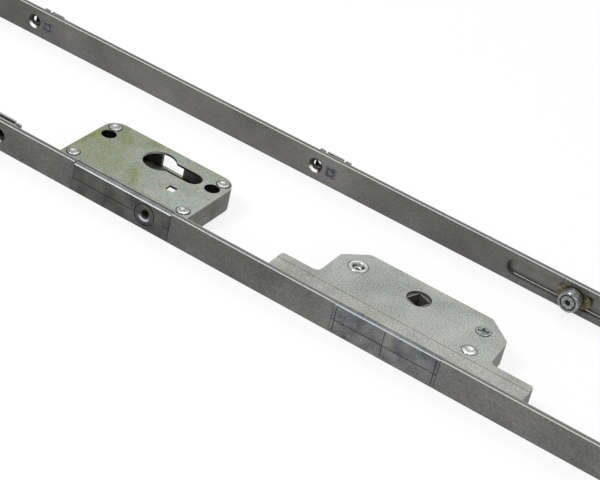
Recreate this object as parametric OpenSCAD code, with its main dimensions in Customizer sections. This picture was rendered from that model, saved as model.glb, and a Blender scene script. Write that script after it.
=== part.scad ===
// Multipoint door lock: a main strip with a cylinder case and a spindle gearbox,
// and a second strip that couples to its end, lying beside it.
// X runs along the lock, Y goes from the faceplate into the door, Z is up.
// The origin is on the spindle axis, half way up the case.

/* [Faceplate] */
// Width of the faceplates
face_w = 16; // [16:0.5:20]
// Thickness of the faceplates
face_t = 2.5; // [2:0.1:3]
// Bevel on the upper edge of the faceplates
face_bevel = 0.35; // [0.1:0.05:0.6]
// Bevel on the lower edge of the faceplates
face_bevel_low = 0.15; // [0.1:0.05:0.6]
// Left end of the main faceplate, seen from the spindle
main_left = 335; // [310:5:600]
// Right end of the main faceplate, seen from the spindle
main_right = 335; // [325:5:600]
// Left end of the extension faceplate, seen from the spindle
ext_left = 335; // [330:5:600]
// Right end of the extension faceplate, seen from the spindle
ext_right = 205; // [190:5:500]
// Distance between the front faces of the two strips as they lie
strip_apart = 102; // [80:1:160]
// Distance of the end screws from the faceplate ends
end_screw_in = 10; // [8:0.5:12]

/* [Fixings] */
// Diameter of the fixing screw holes
screw_d = 4.6; // [4:0.1:5]
// Diameter of the countersinks
sink_d = 8; // [7:0.1:9]
// Left fixing screw on the main strip
main_fix_left = -217.6; // [-225:0.1:-212]
// Right fixing screw on the main strip
main_fix_right = 150; // [130:1:170]
// Fixing screws on the extension
ext_fix_outer = -278.7; // [-280:0.1:-265]
// Middle fixing screw on the extension
ext_fix_middle = -97.8; // [-130:0.1:-80]
// Right fixing screw on the extension
ext_fix_right = 130; // [125:1:140]
// Distance from a fixing screw to its guide rivet
rivet_step = 8.9; // [8.5:0.1:10]
// Side of the square rivet heads
rivet_head = 6.2; // [5.8:0.1:7]

/* [Drive rod] */
// Width of the drive rods
rod_w = 9; // [8.4:0.1:9.2]
// Thickness of the drive rods
rod_t = 2.4; // [2:0.1:2.6]
// Gap between a drive rod and its faceplate
rod_gap = 0.1; // [0.05:0.05:0.2]
// Width of the slots that the fixings pass through
rod_slot_w = 5.4; // [5:0.1:5.6]

/* [Cases] */
// Distance from the faceplate front to the spindle and the cylinder
backset = 35; // [35:0.5:45]
// Height of both cases
case_h = 12; // [12:0.2:13]
// Thickness of the case plates
plate_t = 1.2; // [1:0.1:1.4]
// Thickness of the case walls
wall_t = 1.8; // [1.4:0.1:2.2]
// Depth of the cases behind the spindle and the cylinder
case_behind = 13; // [13:0.5:18]
// Depth to which the case plates key into the faceplates
tongue_in = 1.2; // [0.8:0.1:1.5]

/* [Cylinder case] */
// Distance from the spindle to the cylinder
cyl_x = -147; // [-150:0.5:-145]
// Length of the cylinder case
cyl_len = 75; // [75:0.5:80]
// Diameter of the round part of the cylinder hole
cyl_d = 17; // [17:0.1:17.5]
// Distance from the round part to the end radius of the cylinder hole
cyl_slot_step = 19.5; // [19:0.1:20]
// Width of the narrow part of the cylinder hole
cyl_slot_w = 10; // [10:0.1:10.4]
// Half the distance between the case rivets along the strip
cyl_rivet_x = 32.5; // [32:0.1:32.8]
// Distance of the front rivets from the faceplate front
cyl_rivet_front = 9; // [8.8:0.1:9.5]
// Distance of the rear rivets behind the cylinder axis
cyl_rivet_behind = 7.3; // [7.2:0.1:7.8]
// Half the distance between the two plate holes beside the cylinder
plate_hole_x = 31; // [30.5:0.1:31]
// Diameter of the plate holes beside the cylinder
plate_hole_d = 7.8; // [6:0.1:7.9]
// Length of the front cover
cyl_cover_len = 56.8; // [55:0.1:58]
// Distance from the cylinder to the middle of its front cover
cyl_cover_shift = 3.6; // [3.2:0.1:4]
// Distance from the cylinder to its fixing screw
cyl_screw_step = 17.6; // [17:0.1:18]
// Diameter of the fixing screw of the cylinder
cyl_screw_d = 5; // [4:0.1:5]
// Side of the square sight hole
sight_hole = 4.4; // [4.2:0.1:4.6]
// Distance of the sight hole from the faceplate front
sight_y = 19.8; // [19:0.1:19.9]
// Travel of the locking slide
lock_travel = 2.5; // [2:0.1:2.5]

/* [Gearbox] */
// Half the length of the gearbox body
gear_half = 44; // [44:0.5:48]
// Depth of the flange behind the faceplate front
flange_y = 17.4; // [17:0.1:17.6]
// Left end of the flange, seen from the spindle
flange_left = 63.6; // [60:0.1:66]
// Right end of the flange, seen from the spindle
flange_right = 69; // [66:0.1:72]
// Corner cut of the gearbox body
gear_chamfer = 10.5; // [10:0.1:11]
// Length of the gearbox front cover
gear_cover_len = 55.2; // [54:0.1:56]
// Distance from the spindle to the middle of its front cover
gear_cover_shift = 3; // [2.5:0.1:3.5]
// Side of the square spindle socket
spindle_side = 8; // [7:0.05:8.1]
// Turn of the socket as it stands
spindle_turn = -20; // [-44:1:45]
// Diameter of the bearing holes of the hub
hub_d = 12.2; // [12:0.1:13.2]
// Number of teeth on the hub
teeth = 16; // [16:1:16]
// Distance from tooth to tooth on the rack
tooth_pitch = 4; // [4:0.01:4.02]

/* [Roller cams] */
// Distance from the spindle to the roller on the main strip
main_roller_x = 265; // [262:1:270]
// Distance from the spindle to the roller on the extension
ext_roller_x = 48.4; // [45:0.1:55]
// Diameter of the rollers
roller_d = 11; // [10:0.1:12]
// Height of the roller front above the faceplate
roller_out = 6; // [5.6:0.1:7]
// Diameter of the pin head
pin_head_d = 7.2; // [6.8:0.1:8]
// Offset of the roller from the pin's own axis
pin_offset = 0.6; // [0.4:0.1:1]
// Width of the roller slot in the faceplate
roller_slot_w = 9.2; // [8.8:0.1:9.4]
// Length of the roller base
base_len = 18; // [16:0.5:21]

/* [Hidden] */
$fn = 64;

eps = 0.01;
slide_clear = 0.1;
run_clear = 0.05;
half_h = case_h / 2;
inner_h = half_h - plate_t;
case_y = backset + case_behind;
rod_y = face_t + rod_gap;
rod_back = rod_y + rod_t;
channel_y = rod_back + 0.2;

// Stroke of the drive rod: the hub turns from 70 degrees back to 110 degrees forward
turn_back = 70;
turn_forward = 110;
pitch_r = teeth * tooth_pitch / (2 * PI);
stroke_back = pitch_r * turn_back * PI / 180;
stroke_forward = pitch_r * turn_forward * PI / 180;

cyl_cover_x0 = cyl_x + cyl_cover_shift - cyl_cover_len / 2;
cyl_cover_x1 = cyl_cover_x0 + cyl_cover_len;
cyl_x0 = cyl_x - cyl_len / 2;
cyl_x1 = cyl_x + cyl_len / 2;
key_x = cyl_x + cyl_screw_step;
gear_cover_x0 = gear_cover_shift - gear_cover_len / 2;
gear_cover_x1 = gear_cover_x0 + gear_cover_len;
cover_flange_y = 6.1;
cover_gap = 0.15;

front_wall_t = 1.6;
front_wall_y = channel_y + front_wall_t;
cyl_rivets = [for (sx = [-1, 1], y = [cyl_rivet_front, backset + cyl_rivet_behind])
              [cyl_x + sx * cyl_rivet_x, y]];
rivet_shank_r = 2;
rivet_head_r = 3.4;
rivet_head_h = 0.9;
head_sink = 0.25;
head_rim = 0.3;
post_wall = 0.9;
collar_wall = 1.3;

nose_x = -169;
nose_w = 6;
nose_h = 4;
nose_clear = 0.35;
mid_stop = pitch_r * 20 * PI / 180;

guide_y = channel_y + 1.3;
pad_t = 1.4;
cheek_h = 6;
rivet_seat_gap = 0.12;

rod_end_clear = 6;
main_rod_left = -main_left + end_screw_in + stroke_back + rod_end_clear;
main_rod_right = main_right - end_screw_in - stroke_forward - rod_end_clear;
ext_rod_left = ext_fix_outer - stroke_forward - 8;
ext_rod_right = ext_right - end_screw_in - stroke_forward - rod_end_clear;

eyelet_x = -32.9;
stud_x = 33.4;
stud_y = 35.9;
stud_r = 3.6;
eyelet_r = 4.9;
eyelet_dish = 1.9;
small_rivet_x = 35.4;
small_rivet_y = 18.6;
small_rivet_r = 3.7;
small_shank_r = 1.7;
eyelet_shank_r = 2.7;
gear_sink = 0.2;

roller_gap = 0.3;
roller_len = roller_out - roller_gap;
base_front = 0.4;

// Everything is drawn with Y measured from the faceplate front, then moved to the origin
module from_face(y = 0) {
  translate([0, y - backset, 0]) children();
}

module along_x(x0, x1) {
  translate([x0, 0, 0]) rotate([90, 0, 90]) linear_extrude(x1 - x0) children();
}

module block(x0, x1, y0, y1, z0, z1) {
  translate([x0, y0, z0]) cube([x1 - x0, y1 - y0, z1 - z0]);
}

// A round hole or pin along Y, starting at y
module rod_along_y(x, y, r, len, z = 0) {
  translate([x, y, z]) rotate([-90, 0, 0]) cylinder(r = r, h = len);
}

// A slot along X with round ends, cut through in Y
module slot_y(x0, x1, w, y0, y1) {
  for (x = [x0 + w / 2, x1 - w / 2]) rod_along_y(x, y0, w / 2, y1 - y0);
  block(x0 + w / 2, x1 - w / 2, y0, y1, -w / 2, w / 2);
}

// Strip section with its two front edges bevelled
module strip_section(width, thick, bevel, low) {
  polygon([[0, width / 2 - bevel], [bevel, width / 2], [thick, width / 2],
           [thick, -width / 2], [low, -width / 2], [0, -width / 2 + low]]);
}

module strip(x0, x1) {
  along_x(x0, x1) strip_section(face_w, face_t, face_bevel, face_bevel_low);
}

module countersunk_hole(x) {
  sink_depth = (sink_d - screw_d) / 2;
  rod_along_y(x, -1, screw_d / 2, face_t + 2);
  translate([x, -eps, 0]) rotate([-90, 0, 0])
    cylinder(r1 = sink_d / 2 + eps, r2 = screw_d / 2, h = sink_depth);
}

// Square head of a guide rivet, or with a gap round it the seat in the faceplate
module rivet_seat(x, gap = 0) {
  side = rivet_head + 2 * gap;
  depth = 1;
  corner = 1.8;
  translate([x, depth, 0]) rotate([90, 0, 0]) linear_extrude(depth + gap) rounded_square(side, side, corner);
}

module rounded_square(w, h, r) {
  square([w - 2 * r, h], center = true);
  square([w, h - 2 * r], center = true);
  for (sx = [-1, 1], sy = [-1, 1]) translate([sx * (w / 2 - r), sy * (h / 2 - r)]) circle(r);
}

// Screw hole with its guide rivet beside it: side is 1 for a rivet on the right, -1 on the left
module fixing_holes(x, side = 1) {
  rivet_x = x + side * rivet_step;
  countersunk_hole(x);
  rivet_seat(rivet_x, rivet_seat_gap);
  rod_along_y(rivet_x, 0, 2 + run_clear, face_t + 1);
}

// Pockets in the back of a faceplate that take the tongues of a case
module tongue_pockets(x0, x1) {
  for (s = [-1, 1]) translate([0, 0, s * (half_h + inner_h) / 2])
    block(x0 - run_clear, x1 + run_clear, face_t - tongue_in - run_clear, face_t + 1,
          -plate_t / 2 - run_clear, plate_t / 2 + run_clear);
}

module tongue(x0, x1, z0, z1) {
  block(x0, x1, face_t - tongue_in, face_t + 1, z0, z1);
}

cyl_tongue_left = [cyl_x0 + 1.5, cyl_cover_x0 - 3];
cyl_tongue_right = [cyl_cover_x1 + 1, cyl_x1 - 1];
gear_tongue_left = [-flange_left + 4, -flange_left + 14];
gear_tongue_right = [flange_right - 14, flange_right - 4];

slot_spare_back = 14;
slot_spare_forward = 5.5;
module roller_slot(x) {
  x0 = x - stroke_back - base_len / 2 - slot_spare_back;
  x1 = x + stroke_forward + base_len / 2 + slot_spare_forward;
  slot_y(x0, x1, roller_slot_w, -1, face_t + 1);
}

// Two fine scribed lines that mark the middle of the roller's travel
module scribe_marks(x) {
  line_w = 0.25;
  for (s = [-1, 1])
    block(x + s * 6.2 - line_w / 2, x + s * 6.2 + line_w / 2, -1, 0.15, -face_w, face_w);
}

module main_faceplate_left() color("dimgray") from_face() difference() {
  strip(-main_left, cyl_cover_x0 - cover_gap);
  fixing_holes(main_fix_left, -1);
  countersunk_hole(-main_left + end_screw_in);
  tongue_pockets(cyl_tongue_left[0], cyl_tongue_left[1]);
}

module main_faceplate_middle() color("dimgray") from_face() difference() {
  strip(cyl_cover_x1 + cover_gap, gear_cover_x0 - cover_gap);
  tongue_pockets(cyl_tongue_right[0], cyl_tongue_right[1]);
  tongue_pockets(gear_tongue_left[0], gear_tongue_left[1]);
}

module main_faceplate_right() color("dimgray") from_face() difference() {
  strip(gear_cover_x1 + cover_gap, main_right);
  tongue_pockets(gear_tongue_right[0], gear_tongue_right[1]);
  fixing_holes(main_fix_right);
  roller_slot(main_roller_x);
  scribe_marks(main_roller_x);
  countersunk_hole(main_right - end_screw_in);
}

module extension_faceplate() color("dimgray") from_face(strip_apart) difference() {
  strip(-ext_left, ext_right);
  for (x = [ext_fix_outer, ext_fix_middle, ext_fix_right]) fixing_holes(x);
  for (x = [-ext_left + end_screw_in, ext_right - end_screw_in]) countersunk_hole(x);
  roller_slot(ext_roller_x);
  scribe_marks(ext_roller_x);
}

// Slot in a drive rod that clears a fixing screw and its rivet over the whole stroke
module fixing_slot(x, side = 1) {
  rivet_x = x + side * rivet_step;
  end = rod_slot_w / 2 + 0.2;
  slot_y(min(x, rivet_x) - stroke_forward - end, max(x, rivet_x) + stroke_back + end,
         rod_slot_w, rod_y - 1, rod_back + 1);
}

module rod_bar(x0, x1) {
  block(x0, x1, rod_y, rod_back, -rod_w / 2, rod_w / 2);
}

// Square hole that couples one rod to the next
module coupling_hole(x) {
  side = 4;
  block(x - side / 2, x + side / 2, rod_y - 1, rod_back + 1, -side / 2, side / 2);
}

// Peg hole that holds a base or the rack to a rod
peg_w = 6;
peg_h = 5;
module peg_hole(x) {
  block(x - peg_w / 2 - run_clear, x + peg_w / 2 + run_clear, rod_y - 1, rod_back + 1,
        -peg_h / 2 - run_clear, peg_h / 2 + run_clear);
}

module main_drive_rod() color("silver") from_face() difference() {
  rod_bar(main_rod_left, main_rod_right);
  fixing_slot(main_fix_left, -1);
  fixing_slot(main_fix_right);
  // Windows for the nose of the locking slide: open, standing and closed
  for (d = [[-stroke_back, -stroke_back], [0, mid_stop], [stroke_forward, stroke_forward]])
    block(nose_x - nose_w / 2 - nose_clear - d[1], nose_x + nose_w / 2 + nose_clear - d[0],
          rod_y - 1, rod_back + 1, -nose_h / 2 - 0.2, nose_h / 2 + 0.2);
  // Slot for the key of the cylinder's fixing screw
  slot_y(key_x - stroke_forward - 2.4, key_x + stroke_back + 2.4, 4.4, rod_y - 1, rod_back + 1);
  peg_hole(0);
  peg_hole(main_roller_x);
  coupling_hole(main_rod_left + 6);
  coupling_hole(main_rod_right - 5);
}

module extension_drive_rod() color("silver") from_face(strip_apart) difference() {
  rod_bar(ext_rod_left, ext_rod_right);
  for (x = [ext_fix_outer, ext_fix_middle, ext_fix_right]) fixing_slot(x);
  peg_hole(ext_roller_x);
}

// Kinds of guide, measured from the screw towards the rivet: ends of the body, half its height,
// half height, width and starts of the tabs, ends, half height and thickness of the lip, ends of the peg
wide_guide = [-8.4, 12.1, 4.5, 7.3, 2.8, [-8.4, 9.2], -3.1, 7.8, 6, 1.2, 3.2, 6.4];
slim_guide = [-2.8, 16.3, 4.5, 6.7, 3.1, [-2.1, 13.1], 1.2, 10.8, 5.2, 1, 3.2, 6.4];
end_guide = [-2.8, 15.5, 4.5, 6.6, 3.1, [1.9], 5, 12.8, 5, 0.9, 5, 6.6];
peg_half = 1.5;
tab_y = channel_y + 0.4;
lip_y = guide_y + pad_t;

// Guide behind the faceplate: it straddles the rod and takes the fixing screw
module guide(kind) {
  x0 = kind[0];
  x1 = kind[1];
  cheek = rod_w / 2 + 0.2;
  difference() {
    union() {
      block(x0, x1, channel_y, tab_y + eps, -cheek_h, cheek_h);
      block(x0, x1, tab_y, guide_y, -kind[2], kind[2]);
      for (z = [-cheek_h, cheek]) block(x0, x1, face_t, channel_y + eps, z, z + cheek_h - cheek);
      // End tabs that hold the guide in the door groove
      for (tx = kind[5]) block(tx, tx + kind[4], tab_y, guide_y, -kind[3], kind[3]);
      // Lip behind the plastic pad
      block(kind[6], kind[7], lip_y, lip_y + kind[9], -kind[8], kind[8]);
      block(kind[10], kind[11], guide_y - eps, lip_y + eps, -peg_half, peg_half);
    }
    rod_along_y(0, channel_y - 1, screw_d / 2, 6);
    screw_clearance();
    rod_along_y(rivet_step, channel_y - 1, 2 + run_clear, 6);
  }
}

// Room for the fixing screw behind the body of a guide
module screw_clearance() {
  rod_along_y(0, guide_y, screw_d / 2 + 0.4, 4);
}

// Plastic pad between a guide and its lip
module pad(kind) {
  difference() {
    block(kind[6] + 0.2, kind[7] - 0.2, guide_y, lip_y, -kind[8] + 0.2, kind[8] - 0.2);
    block(kind[10] - run_clear, kind[11] + run_clear, guide_y - 1, lip_y + 1,
          -peg_half - run_clear, peg_half + run_clear);
    screw_clearance();
    rod_along_y(rivet_step, guide_y - 1, 2 + run_clear, 4);
  }
}

// Puts a guide or its pad at a screw, with its rivet on the right or on the left
module at_screw(x, side = 1) {
  translate([x, 0, 0]) mirror([side > 0 ? 0 : 1, 0, 0]) children();
}

// Rivet with a square head in the faceplate and a shank through the guide
module guide_rivet(x) {
  rivet_seat(x);
  rod_along_y(x, 0.5, 2, guide_y - 0.5);
}

module main_guide_left() color("lightgray") from_face() at_screw(main_fix_left, -1) guide(wide_guide);
module main_guide_right() color("lightgray") from_face() at_screw(main_fix_right) guide(wide_guide);
module main_pad_left() color("black") from_face() at_screw(main_fix_left, -1) pad(wide_guide);
module main_pad_right() color("black") from_face() at_screw(main_fix_right) pad(wide_guide);
module main_guide_rivets() color("slategray") from_face() {
  guide_rivet(main_fix_left - rivet_step);
  guide_rivet(main_fix_right + rivet_step);
}
module extension_guide_outer() color("lightgray") from_face(strip_apart)
  at_screw(ext_fix_outer) guide(end_guide);
module extension_guide_middle() color("lightgray") from_face(strip_apart)
  at_screw(ext_fix_middle) guide(slim_guide);
module extension_guide_right() color("lightgray") from_face(strip_apart)
  at_screw(ext_fix_right) guide(slim_guide);
module extension_pad_outer() color("black") from_face(strip_apart) at_screw(ext_fix_outer) pad(end_guide);
module extension_pad_middle() color("black") from_face(strip_apart) at_screw(ext_fix_middle) pad(slim_guide);
module extension_pad_right() color("black") from_face(strip_apart) at_screw(ext_fix_right) pad(slim_guide);
module extension_guide_rivets() color("slategray") from_face(strip_apart) {
  for (x = [ext_fix_outer, ext_fix_middle, ext_fix_right]) guide_rivet(x + rivet_step);
}

// Outline of the cylinder case with its rear corners rounded
module cyl_outline(inset = 0) {
  r = 8 - inset;
  x0 = cyl_x0 + inset;
  x1 = cyl_x1 - inset;
  y1 = case_y - inset;
  difference() {
    translate([x0, face_t + inset]) square([x1 - x0, y1 - face_t - inset]);
    for (c = [[x0, 1], [x1, -1]]) translate([c[0], y1]) difference() {
      translate([c[1] > 0 ? -1 : -r, -r]) square([r + 1, r + 1]);
      translate([c[1] * r, -r]) circle(r);
    }
  }
}

module profile_hole() {
  translate([cyl_x, backset]) circle(cyl_d / 2);
  translate([cyl_x, backset - cyl_slot_w / 2]) square([cyl_slot_step, cyl_slot_w]);
  translate([cyl_x + cyl_slot_step, backset]) circle(cyl_slot_w / 2);
}

cam_window = [cyl_x - 5.6, cyl_x + 7.5];
spring_post = [cyl_x + 8, 10];
spring_post_r = 1.5;

// A hole through the whole height of a case
module through(x, y, r) {
  translate([x, y, -half_h - 1]) cylinder(r = r, h = case_h + 2);
}

// A post in one half of the cylinder case
module half_post(x, y, r, s) {
  translate([x, y, s > 0 ? 0 : -half_h + eps]) cylinder(r = r, h = half_h - eps);
}

// One half of the cylinder case: s is -1 for the lower half and 1 for the upper half
module cyl_half(s) {
  low = s > 0 ? inner_h : -half_h;
  difference() {
    union() {
      translate([0, 0, low]) linear_extrude(plate_t) cyl_outline();
      translate([0, 0, s > 0 ? 0 : -half_h]) linear_extrude(half_h) difference() {
        cyl_outline();
        cyl_outline(wall_t);
        translate([cyl_x0 - 1, 0]) square([cyl_len + 2, channel_y]);
        translate([cam_window[0], case_y - 2 * wall_t]) square([cam_window[1] - cam_window[0], 3 * wall_t]);
      }
      // Front wall behind the rod
      translate([0, 0, s > 0 ? 0 : -half_h + eps])
        block(cyl_x0 + eps, cyl_x1 - eps, channel_y, front_wall_y, 0, half_h - eps);
      for (p = cyl_rivets) half_post(p[0], p[1], rivet_shank_r + post_wall, s);
      for (sx = [-1, 1]) half_post(cyl_x + sx * plate_hole_x, backset, plate_hole_d / 2 + collar_wall, s);
      half_post(spring_post[0], spring_post[1], spring_post_r, s);
      for (t = [cyl_tongue_left, cyl_tongue_right]) tongue(t[0], t[1], low, low + plate_t);
    }
    translate([0, 0, -half_h - 1]) linear_extrude(case_h + 2) profile_hole();
    // The front cover's flanges lie in notches of both plates
    block(cyl_cover_x0 - cover_gap, cyl_cover_x1 + cover_gap, 0, cover_flange_y + cover_gap,
          s > 0 ? inner_h : -half_h - 1, s > 0 ? half_h + 1 : -inner_h);
    // Sight hole
    block(key_x + 0.4 - sight_hole / 2, key_x + 0.4 + sight_hole / 2,
          sight_y - sight_hole / 2, sight_y + sight_hole / 2, -half_h - 1, half_h + 1);
    // Way for the key and for the nose of the slide
    rod_along_y(key_x, channel_y - 1, 2.4, 4);
    block(nose_x - nose_w / 2 - 0.2, nose_x + nose_w / 2 + 0.2, channel_y - 1, front_wall_y + 1,
          -nose_h / 2 - 0.2, nose_h / 2 + 0.2);
    for (p = cyl_rivets) {
      through(p[0], p[1], rivet_shank_r + run_clear);
      translate([p[0], p[1], s > 0 ? half_h - head_sink : -half_h - 1])
        cylinder(r = rivet_head_r + head_rim, h = 1 + head_sink);
    }
    for (sx = [-1, 1]) through(cyl_x + sx * plate_hole_x, backset, plate_hole_d / 2);
    for (p = slide_pins) translate([p[0], p[1], -pin_half]) cylinder(r = pin_r + run_clear, h = 2 * pin_half);
  }
}

module cylinder_case_lower() color("gray") from_face() cyl_half(-1);
module cylinder_case_upper() color([0.63, 0.64, 0.52]) from_face() cyl_half(1);

// Dished rivet head, its flat side on the plate
module rivet_dome(r, h) {
  rotate_extrude() polygon([[0, 0], [r, 0], [r, 0.25 * h], [0.9 * r, 0.7 * h], [0.62 * r, h],
                            [0.5 * r, h], [0.34 * r, 0.72 * h], [0, 0.66 * h]]);
}

module case_rivet(p, r, h, sink) {
  translate([p[0], p[1], -half_h + sink]) cylinder(r = rivet_shank_r, h = case_h - 2 * sink);
  translate([p[0], p[1], half_h - sink]) rivet_dome(r, h);
  translate([p[0], p[1], -half_h + sink]) rotate([180, 0, 0]) rivet_dome(r, h);
}

module cylinder_case_rivets() color("gainsboro") from_face() {
  for (p = cyl_rivets) case_rivet(p, rivet_head_r, rivet_head_h, head_sink);
}

// Front cover: a block in line with the faceplates, with flanges that lie in the case plates
module front_cover(x0, x1, bevel) {
  along_x(x0, x1) strip_section(face_w, face_t, bevel, cover_bevel_low);
  for (s = [-1, 1])
    block(x0, x1, face_t - eps, cover_flange_y, s > 0 ? inner_h : -half_h, s > 0 ? half_h : -inner_h);
}

cover_bevel_low = 0.2;
groove_w = 0.35;
groove_d = 0.4;
module groove_x(x0, x1, z) {
  block(x0, x1, -1, groove_d, z - groove_w / 2, z + groove_w / 2);
}
module groove_z(x, z0, z1) {
  block(x - groove_w / 2, x + groove_w / 2, -1, groove_d, z0, z1);
}

module cylinder_front_cover() color("slategray") from_face() {
  mid_z = -0.9;
  recess_r = 5.8;
  ring_w = 0.55;
  difference() {
    front_cover(cyl_cover_x0, cyl_cover_x1, 1.5);
    groove_x(cyl_cover_x0 - 1, key_x - recess_r - 0.6, mid_z);
    groove_x(cyl_cover_x1 - 4, cyl_cover_x1 + 1, mid_z);
    // Round recess with a raised ring and the hole for the key
    difference() {
      rod_along_y(key_x, -1, recess_r, 1 + groove_d);
      rod_along_y(key_x, -2, recess_r - ring_w, 4);
    }
    translate([key_x, -eps, 0]) rotate([-90, 0, 0]) cylinder(r1 = 3.6, r2 = 2.1, h = 0.8);
    rod_along_y(key_x, -1, 2.1, face_t + 2);
    for (p = cyl_rivets) through(p[0], p[1], rivet_head_r + head_rim);
  }
}

module gearbox_front_cover() color("slategray") from_face() {
  mid_z = -0.6;
  border = 1.6;
  edge = 1.4;
  split_x = 2.3;
  difference() {
    front_cover(gear_cover_x0, gear_cover_x1, 0.7);
    groove_x(gear_cover_x0 - 1, gear_cover_x1 + 1, mid_z);
    groove_z(split_x - 0.1, mid_z, face_w / 2 - edge);
    groove_z(split_x + 0.2, -face_w / 2 + edge, mid_z);
    for (x = [gear_cover_x0 + border, gear_cover_x1 - border])
      groove_z(x, -face_w / 2 + edge, face_w / 2 - edge);
  }
}

// Threaded block in front of the sight hole, for the cylinder's fixing screw
block_y0 = front_wall_y + 0.1;
block_y1 = sight_y - sight_hole / 2 - 0.4;
block_half = 4;
module cylinder_screw_block() color("gray") from_face() difference() {
  block(key_x - block_half, key_x + block_half, block_y0, block_y1, -inner_h, inner_h);
  rod_along_y(key_x, block_y0 - 1, cyl_screw_d / 2 + run_clear, block_y1 - block_y0 + 2);
}

// Its thread sits in the block and its thin end reaches to the cylinder
grub_y = block_y0 + 1.3;
grub_len = 5.5;
grub_pin_r = 1.2;
grub_end_y = backset - cyl_slot_w / 2 - 0.4;
module cylinder_grub_screw() color("dimgray") from_face() difference() {
  union() {
    rod_along_y(key_x, grub_y, cyl_screw_d / 2, grub_len);
    rod_along_y(key_x, grub_y + grub_len - eps, grub_pin_r, grub_end_y - grub_y - grub_len);
  }
  translate([key_x, grub_y - 1, 0]) rotate([-90, 0, 0]) cylinder(r = 2.5 / sqrt(3), h = 3.6, $fn = 6);
}

// Slide that the cylinder's cam pushes into the rod
pin_r = 1.5;
pin_half = half_h - 0.5;
slide_len = 23;
slide_before_nose = 4.4;
slide_pin_in = 3.4;
slide_pin_y = 12.6;
slide_y1 = 17;
claw_y = 23.5;
slide_z = inner_h - 0.2;
slide_x0 = nose_x - slide_before_nose;
slide_x1 = slide_x0 + slide_len;
slide_pins = [[slide_x0 + slide_pin_in, slide_pin_y], [slide_x1 - slide_pin_in - 0.2, slide_pin_y]];
claw_w = 9;
module locking_slide() color("darkgray") from_face() difference() {
  union() {
    block(nose_x - nose_w / 2, nose_x + nose_w / 2, rod_back + 0.4, slide_y1 - 1, -nose_h / 2, nose_h / 2);
    block(slide_x0, slide_x1, front_wall_y + lock_travel + 0.3, slide_y1, -slide_z, slide_z);
    // Claw that the cam catches
    block(slide_x1 - claw_w, slide_x1, slide_y1 - 1, claw_y, -slide_z, slide_z);
  }
  slot_r = pin_r + slide_clear;
  for (p = slide_pins) {
    for (y = [0, lock_travel]) through(p[0], p[1] + y, slot_r);
    block(p[0] - slot_r, p[0] + slot_r, p[1], p[1] + lock_travel, -half_h, half_h);
  }
}

module slide_guide_pins() color("gainsboro") from_face() {
  for (p = slide_pins) translate([p[0], p[1], -pin_half]) cylinder(r = pin_r, h = 2 * pin_half);
}

// Leaf that presses on the side of the slide: it wraps its post and leans on the slide
leaf_t = 0.5;
leaf_h = 6;
module slide_spring() color("lightsteelblue") from_face() {
  reach = spring_post[0] - slide_x1;
  loop_r = 1.5 + run_clear;
  translate([0, 0, -leaf_h / 2]) linear_extrude(leaf_h) {
    difference() {
      translate(spring_post) circle(loop_r + leaf_t);
      translate(spring_post) circle(loop_r);
    }
    polygon([[spring_post[0] - 1, spring_post[1] + loop_r + 0.1],
             [spring_post[0] - 1, spring_post[1] + loop_r + leaf_t],
             [spring_post[0] - reach + 0.6, spring_post[1] + 5.2],
             [spring_post[0] - reach + 0.1, spring_post[1] + 4.6],
             [spring_post[0] - reach + 0.1, spring_post[1] + 3.4],
             [spring_post[0] - reach + 0.6, spring_post[1] + 3.4],
             [spring_post[0] - reach + 0.8, spring_post[1] + 4.4]]);
  }
}

// Outline of the gearbox: a flange behind the faceplate and a body with cut corners
fillet_r = 3;
// The right end is a little longer than the left and widens towards the flange
gear_right = gear_half + 1;
gear_right_chamfer = 12.9;
gear_flare = 1.8;

module gear_outline() {
  b = gear_half;
  c = gear_chamfer;
  y2 = case_y - c;
  difference() {
    polygon([[-flange_left, face_t], [-flange_left, flange_y - 1], [-flange_left + 1, flange_y],
             [-b, flange_y], [-b, y2], [-b + c, case_y], [gear_right - gear_right_chamfer, case_y],
             [gear_right, y2], [gear_right + gear_flare, flange_y], [flange_right - 1, flange_y],
             [flange_right, flange_y - 1], [flange_right, face_t]]);
    corner_piece([-b, y2], [0, -1], [1, 1], 1.5);
    corner_piece([-b + c, case_y], [-1, -1], [1, 0], 5);
    corner_piece([gear_right - gear_right_chamfer, case_y], [-1, 0], [gear_right_chamfer, -c], 4);
    corner_piece([gear_right, y2], [-gear_right_chamfer, c], [gear_flare, flange_y - y2], 2);
  }
  corner_piece([-b, flange_y], [0, 1], [-1, 0], fillet_r);
  corner_piece([gear_right + gear_flare, flange_y], [-gear_flare, y2 - flange_y], [1, 0], fillet_r);
}

// The corner at v between the edges that leave it along d1 and d2, as far as the round of radius r:
// taken off it rounds an outer corner, put on it fills an inner one
module corner_piece(v, d1, d2, r) {
  u1 = d1 / norm(d1);
  u2 = d2 / norm(d2);
  half = acos(u1 * u2) / 2;
  middle = v + (u1 + u2) / norm(u1 + u2) * r / sin(half);
  beyond = v - (u1 + u2) * 0.5;
  difference() {
    polygon([beyond, v + u1 * r / tan(half), middle, v + u2 * r / tan(half)]);
    translate(middle) circle(r + eps);
  }
}

module gear_cavity() {
  b = gear_half - wall_t;
  c = gear_chamfer - 0.6;
  y1 = case_y - 1.5;
  polygon([[-b, front_wall_y], [-b, y1 - c], [-b + c, y1],
           [b - c - 1.6, y1], [b, y1 - c], [b, front_wall_y]]);
}

rack_teeth_y = backset - pitch_r;
tooth_out = 0.225 * tooth_pitch;
tooth_in = 0.2875 * tooth_pitch;
backlash = 0.025 * tooth_pitch;
rack_back_y = rack_teeth_y - 0.8 * tooth_pitch;
stem_half = 2 * tooth_pitch;
rack_x0 = -stroke_forward - 2 * tooth_pitch;
rack_x1 = stroke_back + 2 * tooth_pitch;

module gear_post(x, y, r) {
  translate([x, y, -half_h + eps]) cylinder(r = r, h = half_h + inner_h - eps);
}

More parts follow.
